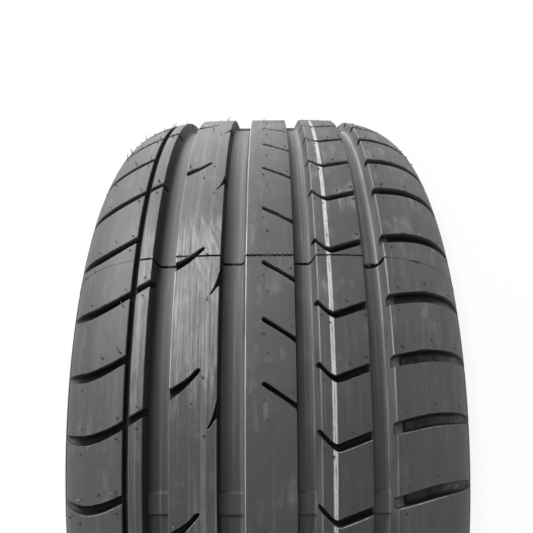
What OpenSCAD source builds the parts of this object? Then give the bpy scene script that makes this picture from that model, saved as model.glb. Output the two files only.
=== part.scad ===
// Passenger car tyre with an asymmetric four groove tread, lying on its right sidewall.
// All sizes are in millimetres; the wheel axis is Z.

/* [Overall] */
// Outer diameter of the tyre over the middle of the tread
outer_diameter = 634; // [620:0.5:645]
// Section width from sidewall to sidewall
section_width = 225; // [221:0.5:235]
// Diameter of the bead seat that sits on the rim
rim_diameter = 436.6; // [430:0.1:440]

/* [Crown] */
// Place of the widest point, as a part of the height from bead seat to tread
widest_place = 0.458; // [0.42:0.002:0.5]
// How far the crown stays flat before it turns down
crown_flatness = 4.15; // [3.8:0.05:4.6]
// How round the shoulder turns into the sidewall
shoulder_roundness = 2.26; // [2.1:0.02:2.4]

/* [Main grooves] */
// Depth of the four main grooves
groove_depth = 7; // [6:0.1:8]
// Outer edge of the first main groove, left of the tread middle
first_groove_edge = 59.6; // [58.6:0.1:60.4]
// Width of the first main groove at the tread surface
first_groove_width = 12.8; // [12:0.1:13.6]
// Outer edge of the second main groove, left of the tread middle
second_groove_edge = 23.8; // [23:0.1:24.6]
// Width of the second main groove at the tread surface
second_groove_width = 13.4; // [12.6:0.1:14.2]
// Inner edge of the third main groove, right of the tread middle
third_groove_edge = 14.4; // [13.8:0.1:15]
// Width of the third main groove at the tread surface
third_groove_width = 11.6; // [11:0.1:12]
// Inner edge of the fourth main groove, right of the tread middle
fourth_groove_edge = 50.2; // [49.8:0.1:51]
// Width of the fourth main groove at the tread surface
fourth_groove_width = 12; // [11.4:0.1:12.6]
// Slope of the steep side of a main groove, as sideways run to the floor
steep_wall_run = 1; // [0.6:0.1:1.3]
// Slope of the leaning side of a main groove, as sideways run to the floor
leaning_wall_run = 2.6; // [2:0.1:3]
// Run of the rounded corner along the floor of a main groove
floor_corner = 1.3; // [1:0.1:1.6]
// Width of the narrow rib between the thin groove and the first main groove
narrow_rib_width = 7; // [6.2:0.1:8]
// Width of the thin groove
thin_groove_width = 2.9; // [2.5:0.1:3.3]
// Depth of the thin groove
thin_groove_depth = 5; // [4.4:0.1:5.6]
// Height of the wear bars across the floors of the main grooves
wear_bar_height = 1.6; // [1.2:0.1:2]
// Length of each wear bar around the tyre
wear_bar_length = 11; // [8:0.5:14]

/* [Pitches] */
// Length of a short pitch, against the mean pitch
short_pitch = 0.936; // [0.92:0.002:0.95]
// Length of a middle pitch, against the mean pitch
middle_pitch = 1.008; // [1:0.002:1.02]
// Length of a long pitch, against the mean pitch
long_pitch = 1.094; // [1.08:0.002:1.11]

/* [Cross cuts] */
// Depth of the slots in the middle rib
middle_slot_depth = 5; // [4:0.1:5.6]
// Width of the slots in the middle rib
middle_slot_width = 2.7; // [2.3:0.1:3.1]
// Depth of the slots and notches in the rib left of the middle
left_rib_cut_depth = 5.2; // [4:0.1:5.6]
// Depth of the angled cuts in the rib right of the middle
angled_cut_depth = 5; // [4:0.1:5.6]
// Width of the long arm of each angled cut, measured around the tyre
angled_cut_width = 4.5; // [4:0.1:5]
// Depth of the cross grooves in the left shoulder
left_cross_depth = 5.6; // [4.8:0.1:6]
// Depth of the cross grooves in the right shoulder
right_cross_depth = 6; // [5:0.1:6.4]
// Width of the cross grooves in the right shoulder, measured around the tyre
right_cross_width = 6.6; // [6:0.1:7.2]
// Depth of the shallow step where a shoulder cross groove meets a long groove
tie_depth = 3.6; // [3.2:0.1:4.2]

/* [Carcass] */
// Thickness of the crown, tread included
crown_thickness = 14.5; // [14:0.5:17]
// Thickness of the sidewall at its widest point
sidewall_thickness = 10; // [9:0.5:12]
// Width between the outer faces of the two beads
bead_spread = 190.5; // [186:0.5:196]
// Width of one bead, heel to toe
bead_width = 19; // [18:0.5:21]
// Length of the straight seat inside each bead
seat_length = 12; // [11:0.5:13]
// Height of the raised rim guard above the sidewall
rim_guard_height = 1.6; // [1:0.1:2.4]

/* [Part] */
// Node to draw

/* [Hidden] */
$fn = 180;
outer_radius = outer_diameter / 2;
half_width = section_width / 2;
seat_radius = rim_diameter / 2;
side_height = outer_radius - seat_radius;
wide_radius = seat_radius + side_height * widest_place;
shoulder_height = outer_radius - wide_radius;
clearance = 6;
rubber = [0.09, 0.09, 0.1];

// radius of the crown at a distance u from the tread middle
function crown(u) = outer_radius - shoulder_height
    * (1 - pow(max(0, 1 - pow(min(1, abs(u) / half_width), crown_flatness)), 1 / shoulder_roundness));

// one main groove, from its left edge to its right edge, with a run for each wall
function groove_points(left, right, left_run, right_run) = let (
    floor_radius = min(crown(left), crown(right)) - groove_depth,
    knee = floor_radius + groove_depth * 0.24,
    part = 0.76
  ) [
    [left, crown(left)],
    [left + left_run * part, knee],
    [left + left_run + floor_corner * 0.35, floor_radius + groove_depth * 0.06],
    [left + left_run + floor_corner, floor_radius],
    [right - right_run - floor_corner, floor_radius],
    [right - right_run - floor_corner * 0.35, floor_radius + groove_depth * 0.06],
    [right - right_run * part, knee],
    [right, crown(right)]
  ];

function thin_points() = let (
    left = -thin_groove_middle - thin_groove_width / 2,
    right = -thin_groove_middle + thin_groove_width / 2
  ) [
    [left, crown(left)],
    [left + 0.2, crown(left) - thin_groove_depth],
    [right - 0.2, crown(left) - thin_groove_depth],
    [right, crown(right) - 0.5],
    [right + 0.7, crown(right + 0.7)]
  ];

thin_groove_middle = first_groove_edge + narrow_rib_width + thin_groove_width / 2;
first_left = -first_groove_edge;
first_right = first_left + first_groove_width;
second_left = -second_groove_edge;
second_right = second_left + second_groove_width;
third_left = third_groove_edge;
third_right = third_left + third_groove_width;
fourth_left = fourth_groove_edge;
fourth_right = fourth_left + fourth_groove_width;
thin_left = -thin_groove_middle - thin_groove_width / 2;

// distances that split the two shoulders into bands, as parts of the half width
shoulder_bands = [0.67, 0.77, 0.85, 0.91, 0.95, 0.98];
left_bands = [for (i = [len(shoulder_bands) - 1 : -1 : 0])
    if (-shoulder_bands[i] * half_width < thin_left - 1)
      [-shoulder_bands[i] * half_width, crown(shoulder_bands[i] * half_width)]];
right_bands = [for (part = shoulder_bands)
    if (part * half_width > fourth_right + 1) [part * half_width, crown(part * half_width)]];

tread_line = concat(
  left_bands,
  thin_points(),
  groove_points(first_left, first_right, leaning_wall_run, steep_wall_run),
  groove_points(second_left, second_right, steep_wall_run, leaning_wall_run * 0.6),
  groove_points(third_left, third_right, steep_wall_run * 0.6, leaning_wall_run),
  groove_points(fourth_left, fourth_right, steep_wall_run * 0.6, leaning_wall_run),
  right_bands
);

// sidewall and bead on the right, from the widest point down to the toe
bead_face = bead_spread / 2;
bead_toe = bead_face - bead_width;
guard_root = half_width - 4;
function side_up(part) = seat_radius + side_height * part;
guard_radius = side_up(0.248);
seat_outer = bead_face - 3.5;
seat_inner = seat_outer - seat_length;
outer_side = [
  [half_width, wide_radius],
  [half_width - 0.5, wide_radius - (wide_radius - guard_radius) * 0.35],
  [half_width - 1.9, wide_radius - (wide_radius - guard_radius) * 0.7],
  [guard_root, guard_radius],
  [guard_root + rim_guard_height, side_up(0.23)],
  [guard_root + rim_guard_height - 0.6, side_up(0.198)],
  [bead_face + 8.2, side_up(0.153)],
  [bead_face + 3.2, side_up(0.096)],
  [bead_face, side_up(0.044)],
  [bead_face - 0.4, side_up(0.019)],
  [bead_face - 1.6, side_up(0.006)],
  [seat_outer, seat_radius],
  [seat_inner, seat_radius],
  [bead_toe + 0.6, side_up(0.012)],
  [bead_toe, side_up(0.03)]
];

// inside of the sidewall, from the toe up to the widest point
inner_half = half_width - sidewall_thickness;
toe_top = side_up(0.03);
inner_low = [for (i = [1 : 7]) let (t = 1 - i / 7.5)
    [bead_toe + (inner_half - bead_toe) * pow(1 - pow(t, 1.6), 0.8), wide_radius - (wide_radius - toe_top) * t]];

// inside of the crown, from the right sidewall to the tread middle
inner_top = outer_radius - crown_thickness;
inner_parts = [1, 0.993, 0.97, 0.93, 0.87, 0.79, 0.68, 0.5, 0.25];
inner_high = [for (part = inner_parts) [part * inner_half, inner_top - (inner_top - wide_radius)
    * (1 - pow(1 - pow(part, crown_flatness), 1 / shoulder_roundness))]];
right_inside = concat(inner_low, inner_high);

function mirrored(points) = [for (i = [len(points) - 1 : -1 : 0]) [-points[i][0], points[i][1]]];

section = concat(
  tread_line, outer_side, right_inside,
  mirrored(right_inside), mirrored(outer_side)
);

// turns a section drawn as distance from the tread middle and radius around the wheel axis
module turned(points)
  rotate_extrude()
    polygon([for (p = points) [p[1], p[0] + half_width]]);

// order of short, middle and long pitches around the tyre
pitch_order = [
  1, 0, 2, 2, 0, 0, 1, 1, 0, 1, 2, 2, 0, 1,
  0, 0, 1, 2, 1, 0, 0, 1, 1, 0, 2, 0, 1, 0,
  2, 2, 2, 1, 1, 0, 1, 0, 0, 2, 1, 0, 0, 1,
  0, 1, 2, 0, 1, 1, 0, 2, 0, 0, 1, 2, 1, 1
];
pitches = len(pitch_order);
pitch_sizes = [short_pitch, middle_pitch, long_pitch];
function total(list, count) = count == 0 ? 0 : total(list, count - 1) + list[count - 1];
function turned_order(shift) = [for (i = [0 : pitches - 1]) pitch_sizes[pitch_order[(i + shift) % pitches]]];
right_sizes = turned_order(0);
left_sizes = turned_order(pitches / 2);
whole = total(right_sizes, pitches);
right_start = 225.9;
left_start = 227.9;
right_angles = [for (i = [0 : pitches - 1]) right_start + total(right_sizes, i) * 360 / whole];
left_angles = [for (i = [0 : pitches - 1]) left_start + total(left_sizes, i) * 360 / whole];

// the only slot left out of the row in the middle rib
missing_slot = 7;

// an outline, as distance from the tread middle and length around the tyre, cut in from above
top_radius = outer_radius + clearance;
module cut_down(outline, floor_radius)
  translate([floor_radius, 0, half_width]) rotate([180, -90, 0])
    linear_extrude(height = top_radius - floor_radius) polygon(outline);

// a cut with a sloping floor, given as distance from the tread middle and depth below the crown
cut_reach = 24;
module sloped_cut(outline, floor_line) {
  last = len(floor_line) - 1;
  side = concat(
    [for (p = floor_line) [crown(p[0]) - p[1], p[0] + half_width]],
    [[top_radius - 1, floor_line[last][0] + half_width], [top_radius - 1, floor_line[0][0] + half_width]]
  );
  intersection() {
    cut_down(outline, wide_radius);
    rotate([90, 0, 0]) linear_extrude(height = 2 * cut_reach, center = true) polygon(side);
  }
}

// slot in the middle rib: round at its left end and open into the third groove
slot_start = -1.2;
slot_angle = -34.9;
slot_outline = let (
    r = middle_slot_width / 2,
    dx = cos(slot_angle), dy = sin(slot_angle),
    run = (third_left - slot_start) / dx
  ) concat(
    [for (i = [0 : 4]) [slot_start + r * cos(slot_angle + 90 + i * 45), r * sin(slot_angle + 90 + i * 45)]],
    [
      [slot_start + (run - 2.4) * dx + r * dy, (run - 2.4) * dy - r * dx],
      [third_left + 2.6, run * dy - r - 4.4],
      [third_left + 2.6, (run + 3.2) * dy + r / dx]
    ]
  );
slot_floor = outer_radius - middle_slot_depth;

// slot in the left rib: cut straight at the first groove, tapered to a round tip
rib_slot_outline = [
  [first_right - 2.6, -17], [-40, -9.7], [-34, -3.1], [-32.1, -0.9],
  [-31.9, 0.4], [-33.3, 1.2], [-37, -2.8], [-42, -6.4], [first_right - 2.6, -9.2]
];

// curved notch in the left rib, open into the second groove
rib_notch_outline = [
  [second_left + 1.6, 6.4], [second_left - 1, 4], [-28.4, -0.1], [-28.2, 0.7],
  [-26.3, 4.7], [-24.9, 10], [second_left + 1.6, 23]
];
rib_floor = crown((first_right + second_left) / 2) - left_rib_cut_depth;

// angled cut through the rib right of the middle, lowest under its bend
bend = 34.5;
arm_slope = 5.8 / 15.7;
angled_outline = [
  [bend, 0],
  [fourth_left + 2.4, (fourth_left + 2.4 - bend) * arm_slope],
  [fourth_left + 2.4, (fourth_left + 2.4 - bend) * arm_slope + angled_cut_width],
  [bend - 1.2, angled_cut_width - 0.8],
  [30.6, 5.3], [24.8, 11.5], [third_right - 4.6, 12.4], [third_right - 4.6, 9.6],
  [23.7, 8.9], [31, 1.8], [33.4, 0.3]
];
angled_floor = crown((third_right + fourth_left) / 2) - angled_cut_depth;

// cross groove in the right shoulder, from the fourth groove out over the edge
right_top = [[fourth_right + 1, 0.2], [72, 2.5], [84, 4.8], [97, 5.5], [110, 2.8]];
right_low = [[110, 1.8], [97, 0.7], [84, -0.8], [72, -3.2], [fourth_right + 1, -5.1]];
drawn_cross_width = 5.6;
right_grow = right_cross_width - drawn_cross_width;
right_cross_outline = concat(
  [[fourth_right - 4, -1.1]],
  right_top,
  [for (p = right_low) [p[0], p[1] - right_grow]],
  [[fourth_right - 4, -6.2 - right_grow]]
);
right_floor = [
  [fourth_right - 6, tie_depth + 1], [66.6, tie_depth], [67.2, right_cross_depth], [82, right_cross_depth],
  [92, right_cross_depth - 1.2], [100, 2.8], [107, 0.4], [112, -4]
];

// cross groove in the left shoulder; the long kind goes on through the narrow rib
left_top = [[-106, -2.6], [-100, -4], [-91, -4.6], [-80, -2.3], [-70.7, 1.7]];
left_low = [[-70.7, -2.9], [-82, -8], [-91, -9.8], [-98, -8.9], [-106, -3.6]];
short_cross_outline = concat(
  left_top, [[-thin_groove_middle, 2.8], [-thin_groove_middle, -1.8]], left_low
);
long_cross_outline = concat(
  left_top,
  [[first_left + 2.2, 9.3], [first_left + 2.2, 4.9]],
  left_low
);
step_depth = thin_groove_depth - 0.8;
left_floor = [
  [-112, -4], [-106, 0.4], [-100, 2.8], [-92, left_cross_depth - 0.6], [-84, left_cross_depth],
  [-73.4, left_cross_depth], [-72.8, step_depth], [-thin_groove_middle, step_depth],
  [first_left + 4, step_depth + 2.6]
];

// turn of each kind of cut from the start of its pitch, in degrees
angled_turn = 5.95;
right_cross_turn = 3.3;
rib_slot_turn = -4.8;
rib_notch_turn = 0.4;

module cross_cuts() {
  for (i = [0 : pitches - 1]) {
    rotate([0, 0, right_angles[i]]) {
      if (i != missing_slot) cut_down(slot_outline, slot_floor);
      rotate([0, 0, angled_turn]) cut_down(angled_outline, angled_floor);
      rotate([0, 0, right_cross_turn]) sloped_cut(right_cross_outline, right_floor);
    }
    rotate([0, 0, left_angles[i]])
      if (i % 2 == 0) {
        sloped_cut(long_cross_outline, left_floor);
        rotate([0, 0, rib_slot_turn]) cut_down(rib_slot_outline, rib_floor);
        rotate([0, 0, rib_notch_turn]) cut_down(rib_notch_outline, rib_floor);
      } else
        sloped_cut(short_cross_outline, left_floor);
  }
}

// raised bars across the main groove floors that show wear
wear_bars = 6;
first_bar = 215;
module wear_bar_row(left, right) {
  floor_radius = min(crown(left), crown(right)) - groove_depth;
  for (i = [0 : wear_bars - 1])
    rotate([0, 0, first_bar + i * 360 / wear_bars])
      translate([floor_radius - 2, -wear_bar_length / 2, half_width + left - 1])
        cube([wear_bar_height + 2, wear_bar_length, right - left + 2]);
}

// drawn with the pattern's left shoulder down, then turned over onto the right sidewall
module tyre() {
  color(rubber) translate([0, 0, section_width]) rotate([0, 180, 0])
    difference() {
      union() {
        turned(section);
        wear_bar_row(first_left, first_right);
        wear_bar_row(second_left, second_right);
        wear_bar_row(third_left, third_right);
        wear_bar_row(fourth_left, fourth_right);
      }
      cross_cuts();
    }
}

tyre();
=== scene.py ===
import bpy
import bmesh
import math
from mathutils import Matrix, Vector


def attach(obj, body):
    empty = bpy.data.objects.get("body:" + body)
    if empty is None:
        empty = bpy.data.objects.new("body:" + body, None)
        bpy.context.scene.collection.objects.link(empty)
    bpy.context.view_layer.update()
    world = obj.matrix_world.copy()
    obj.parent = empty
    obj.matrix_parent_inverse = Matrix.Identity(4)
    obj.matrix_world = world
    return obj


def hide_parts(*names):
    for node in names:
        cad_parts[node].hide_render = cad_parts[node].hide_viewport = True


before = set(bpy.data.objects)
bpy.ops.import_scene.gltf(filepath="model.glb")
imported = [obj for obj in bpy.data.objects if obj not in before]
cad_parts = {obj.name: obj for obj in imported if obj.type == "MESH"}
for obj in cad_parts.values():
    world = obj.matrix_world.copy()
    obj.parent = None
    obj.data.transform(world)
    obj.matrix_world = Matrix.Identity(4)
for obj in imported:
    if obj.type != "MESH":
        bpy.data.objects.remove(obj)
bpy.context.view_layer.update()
mm = 0.001
print("frame loaded:", ", ".join(sorted(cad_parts)))


# Node helper: one wrapped socket, sums and products add Math nodes
class Wire:
    def __init__(self, tree, socket=None):
        self.tree, self.socket = tree, socket

    def node(self, kind, settings=None, sockets=None, out=0):
        made = self.tree.nodes.new(kind)
        for name, value in (settings or {}).items():
            setattr(made, name, value)
        for name, value in (sockets or {}).items():
            for part in value if isinstance(value, list) else [value]:
                if isinstance(part, Wire):
                    self.tree.links.new(part.socket, made.inputs[name])
                else:
                    made.inputs[name].default_value = part
        return Wire(self.tree, made.outputs[out] if made.outputs else None)

    def out(self, name):
        return Wire(self.tree, self.socket.node.outputs[name])

    def math(self, operation, *values):
        return self.node("ShaderNodeMath", {"operation": operation}, dict(enumerate(values)))

    def __add__(self, other): return self.math("ADD", self, other)
    def __radd__(self, other): return self.math("ADD", other, self)
    def __sub__(self, other): return self.math("SUBTRACT", self, other)
    def __rsub__(self, other): return self.math("SUBTRACT", other, self)
    def __mul__(self, other): return self.math("MULTIPLY", self, other)
    def __rmul__(self, other): return self.math("MULTIPLY", other, self)
    def __truediv__(self, other): return self.math("DIVIDE", self, other)
    def __pow__(self, other): return self.math("POWER", self, other)

    def step(self, low, high):
        # 0 below low, 1 above high, soft between
        return self.node("ShaderNodeMapRange", {"interpolation_type": "SMOOTHSTEP"},
                         {"Value": self, "From Min": low, "From Max": high, "To Min": 0.0, "To Max": 1.0})

    def blend(self, first, second):
        # colours mixed with this wire as the factor
        return self.node("ShaderNodeMix", {"data_type": "RGBA"}, {0: self, 6: first, 7: second}, out=2)


# The tyre's own form, in millimetres: u across the tread, r out from the axle
tyreShape = {
    "outerRadius": 317.0, "halfWidth": 112.5, "wideRadius": 263.5, "seatRadius": 218.3,
    "crownFlatness": 4.15, "shoulderRoundness": 2.26, "crownThickness": 14.5, "sidewall": 10.0,
    "grooveDepth": 7.0, "lip": 0.45, "ringSteps": 216, "ribSpacing": 4.2, "sharpAngle": 0.55,
    # left edge, right edge, run of each wall down to the floor
    "grooves": [(-59.6, -46.8, 2.6, 1.0), (-23.8, -10.4, 1.0, 1.56),
                (14.4, 26.0, 0.6, 2.6), (50.2, 62.2, 0.6, 2.6)],
    # left edge, right edge, depth
    "thinGroove": (-69.5, -66.6, 5.0),
    # the bead's innermost corner as u and r
    "toe": (76.25, 221.3),
    # depths under the crown where the marks of the tread end and the sidewall begins
    "treadEnds": (8, 9), "sidewallBegins": (14, 22),
}


def crownShare(part):
    # share of the crown's rise that is left at a part of the half width
    s = tyreShape
    return max(0.0, 1 - part ** s["crownFlatness"]) ** (1 / s["shoulderRoundness"])


def crown(u):
    s = tyreShape
    drop = s["outerRadius"] - s["wideRadius"]
    return s["outerRadius"] - drop * (1 - crownShare(min(1.0, abs(u) / s["halfWidth"])))


def placed(u, t, r):
    # scene point from u across, t along the tread and r out, all in millimetres
    return (r * mm, -t * mm, (u + tyreShape["halfWidth"]) * mm)


def glide(points, at):
    # smooth value at a place between known points; both ends run on level
    if at <= points[0][0]:
        return points[0][1]
    if at >= points[-1][0]:
        return points[-1][1]
    k = max(i for i in range(len(points) - 1) if points[i][0] <= at)
    slopes = [(b[1] - a[1]) / (b[0] - a[0]) for a, b in zip(points, points[1:])]

    def slopeAt(i):
        if i == 0 or i == len(points) - 1:
            return slopes[min(i, len(slopes) - 1)]
        a, b = slopes[i - 1], slopes[i]
        return 0.0 if a * b <= 0 else 2 * a * b / (a + b)
    (x0, y0), (x1, y1) = points[k], points[k + 1]
    h = x1 - x0
    t = (at - x0) / h
    return ((2 * t ** 3 - 3 * t * t + 1) * y0 + (t ** 3 - 2 * t * t + t) * h * slopeAt(k)
            + (-2 * t ** 3 + 3 * t * t) * y1 + (t ** 3 - t * t) * h * slopeAt(k + 1))


def grooveWall(edge, run, side, floor):
    # over the soft lip and down one wall; side is 1 for a left wall and -1 for a right one
    depth, lip = tyreShape["grooveDepth"], tyreShape["lip"]
    line = [(-lip, crown(edge - side * lip)), (-0.12 * lip, crown(edge) - 0.14 * lip),
            (0.12 * lip, crown(edge) - lip), (run * 0.45, floor + depth * 0.5),
            (run * 0.8, floor + depth * 0.2), (run + 0.3, floor + depth * 0.07), (run + 1.5, floor)]
    return [(edge + side * away, r) for away, r in line]


def grooveLine(left, right, leftRun, rightRun):
    floor = min(crown(left), crown(right)) - tyreShape["grooveDepth"]
    return grooveWall(left, leftRun, 1, floor) + list(reversed(grooveWall(right, rightRun, -1, floor)))


def crownLine(start, end, spacing):
    count = max(1, round(abs(end - start) / spacing))
    places = [start + (end - start) * i / count for i in range(1, count)]
    return [(u, crown(u)) for u in places]


def shoulderLine(edge):
    # from the last groove out to the widest point, closer together where it turns
    side = 1 if edge > 0 else -1
    half = tyreShape["halfWidth"]
    parts = [1 - (1 - abs(edge) / half) * (1 - i / 17) ** 2.1 for i in range(1, 18)]
    return [(side * part * half, crown(part * half)) for part in parts]


def treadLine():
    line = list(reversed(shoulderLine(tyreShape["thinGroove"][0] - 0.3)))
    left, right, depth = tyreShape["thinGroove"]
    floor = crown(left) - depth
    line += [(left - 0.3, crown(left - 0.3)), (left, crown(left) - 0.3), (left + 0.2, floor + 0.3),
             (left + 0.6, floor), (right - 0.6, floor), (right - 0.2, floor + 0.3),
             (right, crown(right) - 0.7), (right + 0.8, crown(right + 0.8))]
    last = right + 0.8
    for groove in tyreShape["grooves"]:
        line += crownLine(last, groove[0] - tyreShape["lip"], tyreShape["ribSpacing"])
        line += grooveLine(*groove)
        last = groove[1] + tyreShape["lip"]
    return line + shoulderLine(last)


def sideLine():
    # right sidewall from its widest point down over the rim guard and the bead to the toe
    half, wide, seat = tyreShape["halfWidth"], tyreShape["wideRadius"], tyreShape["seatRadius"]
    slope = [(-wide, half), (-256.3, half - 0.5), (-249, half - 1.9), (-244.6, half - 3.4)]
    line = [(glide(slope, -r), r) for r in (261.6, 259.2, 256.3, 253.2, 250.2, 247.4, 245.2)]
    line += [(108.6, 243.6), (109.1, 242.9), (109.9, 242.2), (110.15, 241.2), (110.0, 239.4), (109.5, 237.9),
             (108.1, 236.4), (105.9, 234.8), (103.4, 233.2), (101.2, 231.1), (99.7, 229.3), (98.3, 227.6),
             (96.9, 225.2), (95.9, 223.6), (95.3, 222.2), (95.1, 220.9), (94.7, 219.8), (93.9, 219.0),
             (92.9, 218.5), (91.7, seat), (88.5, seat), (84.0, seat), (79.8, seat), (77.6, 218.8),
             (76.5, 219.8), tyreShape["toe"]]
    return line


def insideLine():
    # half of the lining, from the toe up the sidewall and along under the crown
    s = tyreShape
    inner, wide, (toe, toeRadius) = s["halfWidth"] - s["sidewall"], s["wideRadius"], s["toe"]
    line = []
    for i in range(1, 15):
        t = 1 - i / 15
        line.append((toe + (inner - toe) * (1 - t ** 1.6) ** 0.8, wide - (wide - toeRadius) * t))
    top = s["outerRadius"] - s["crownThickness"]
    for part in (1, 0.998, 0.991, 0.978, 0.957, 0.93, 0.9, 0.86, 0.81, 0.75, 0.67, 0.57, 0.45, 0.3, 0.15):
        line.append((part * inner, top - (top - wide) * (1 - crownShare(part))))
    return line


# Thin plain rings pressed into the outside of each sidewall
sunkRing = {"radii": (291.5, 276.5), "half": 0.9, "depth": 0.5}


def sunkRings(line):
    made = []
    half, depth = sunkRing["half"], sunkRing["depth"]
    for (u, r), (v, q) in zip(line, line[1:] + line[-1:]):
        made.append((u, r))
        for ring in sunkRing["radii"]:
            if u > 0 and r > ring >= q:
                for step, sink in ((half, 0.0), (half / 2, depth), (-half / 2, depth), (-half, 0.0)):
                    t = (r - ring - step) / (r - q)
                    made.append((u + (v - u) * t - sink, ring + step))
    return made


def sectionPoints():
    tread = treadLine()
    middle = len(tread) // 2
    right = sunkRings(tread[middle:] + sideLine())
    leftTread = sunkRings([(-u, r) for u, r in reversed(tread[:middle])] + sideLine())
    inside = insideLine()
    return right + inside + [(-u, r) for u, r in reversed(leftTread + inside)]


def linkMesh(name, points, edges, faces):
    mesh = bpy.data.meshes.new(name)
    mesh.from_pydata([Vector(p) for p in points], edges, faces)
    made = bpy.data.objects.new(name, mesh)
    bpy.context.scene.collection.objects.link(made)
    return made


# Cuts through the ribs and shoulders
# the two cuts of the left shoulder start alike; the long one runs on into the next rib
leftCut = {
    "high": [(-106, -2.8), (-104.5, -3.2), (-100, -4.0), (-91, -4.6), (-80, -2.3), (-70.7, 1.7)],
    "low": [(-106, -3.4), (-104.5, -5.4), (-101, -8.0), (-97, -9.1), (-91, -9.8), (-82, -8.0), (-70.7, -2.9)],
    "floor": [(-106, 0.6), (-104, 1.6), (-100, 3.0), (-92, 5.0), (-84, 5.6), (-74, 5.6), (-72.8, 4.2)],
    "at": [-106, -105.2, -103.6, -101, -98, -95, -91, -87, -82, -78, -74.2, -73.4, -72.6],
}
# high and low sides as (u, length round the tyre), floor as (u, depth), all in millimetres
cutShapes = {
    "middleSlot": {
        "high": [(-2.3, 0.6), (-1.9, 1.25), (-1.0, 1.3), (0.3, 0.55), (13.0, -8.3), (17.0, -10.9)],
        "low": [(-2.3, -0.3), (-1.9, -0.9), (-1.0, -1.6), (0.3, -2.45), (11.0, -9.9), (14.6, -13.1),
                (17.0, -15.6)],
        "floor": [(-2.3, 3.6), (-1.2, 4.8), (0, 5.0), (17, 5.0)],
        "at": [-2.3, -2.05, -1.6, -0.8, 0.4, 3.5, 7.5, 11.0, 13.4, 15.0, 17.0], "draft": 0.3},
    "angledCut": {
        "high": [(21.4, 12.6), (24.8, 11.5), (30.6, 5.3), (33.3, 3.8), (36.0, 4.9), (52.6, 11.2)],
        "low": [(21.4, 9.8), (23.7, 8.9), (31.0, 1.8), (33.4, 0.3), (34.5, 0.0), (37.0, 0.75), (52.6, 6.7)],
        "floor": [(21.4, 5.0), (52.6, 5.0)],
        "at": [21.4, 23.6, 25.6, 28.0, 30.6, 32.4, 33.4, 34.5, 36.0, 39.0, 43.0, 47.5, 52.6], "draft": 0.45},
    "rightCross": {
        "high": [(58.2, -1.1), (63.2, 0.2), (72, 2.5), (84, 4.8), (97, 5.5), (105, 4.4), (111.6, 1.9)],
        "low": [(58.2, -7.2), (63.2, -6.1), (72, -4.2), (84, -1.8), (97, -0.3), (105, 0.6), (111.6, 1.3)],
        "floor": [(58.2, 3.7), (65.8, 3.7), (67.6, 6.0), (82, 6.0), (92, 4.9), (100, 3.0), (107, 1.0),
                  (111.6, -1.2)],
        "at": [58.2, 61, 63.6, 65.8, 66.7, 67.6, 72, 77, 82, 87, 92, 96, 100, 104, 107.5, 110, 111.6],
        "draft": 0.6},
    "leftCross": {
        "high": leftCut["high"] + [(-67.9, 2.9)], "low": leftCut["low"] + [(-67.9, -1.7)],
        "floor": leftCut["floor"] + [(-67.9, 4.2)], "at": leftCut["at"] + [-70.5, -67.9], "draft": 0.6},
    "leftLongCross": {
        "high": leftCut["high"] + [(-57.4, 9.3)], "low": leftCut["low"] + [(-57.4, 4.9)],
        "floor": leftCut["floor"] + [(-66, 4.2), (-57.4, 6.0)],
        "at": leftCut["at"] + [-69, -65, -61, -57.4], "draft": 0.6},
    "leftRibSlot": {
        "high": [(-49.4, -10.6), (-46.8, -9.2), (-42, -6.4), (-37, -2.8), (-33.6, 0.7), (-32.5, 0.9),
                 (-31.8, 0.1)],
        "low": [(-49.4, -17), (-40, -9.8), (-34, -3.3), (-32.4, -1.3), (-31.8, -0.2)],
        "floor": [(-49.4, 5.2), (-34.5, 5.2), (-32.6, 4.0), (-31.8, 2.2)],
        "at": [-49.4, -46.5, -43, -40, -37, -35, -33.6, -32.8, -32.2, -31.8], "draft": 0.35},
    "leftRibNotch": {
        "high": [(-28.5, 0.1), (-28.2, 0.8), (-26.3, 4.8), (-24.9, 10), (-22.2, 23)],
        "low": [(-28.5, -0.2), (-28.2, -0.2), (-24.8, 4.0), (-22.2, 6.4)],
        "floor": [(-28.5, 3.2), (-27.4, 5.0), (-22.2, 5.2)],
        "at": [-28.5, -28.1, -27.4, -26.4, -25.4, -24.4, -23.4, -22.2], "draft": 0.3},
}
# lip and corner at the most, shape of the lip, and the lid's height over the crown, in millimetres
cutSoft = {"lip": 0.35, "corner": 0.9, "knee": 0.12, "lipDrop": 0.45, "lipRise": 1.2, "lid": 7}


def tubeFaces(rings, sides):
    # faces between rings of points, with both ends closed
    faces = []
    for i in range(rings - 1):
        for j in range(sides):
            k = (j + 1) % sides
            faces.append((i * sides + j, i * sides + k, (i + 1) * sides + k, (i + 1) * sides + j))
    return faces + [tuple(reversed(range(sides))), tuple(range((rings - 1) * sides, rings * sides))]


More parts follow.
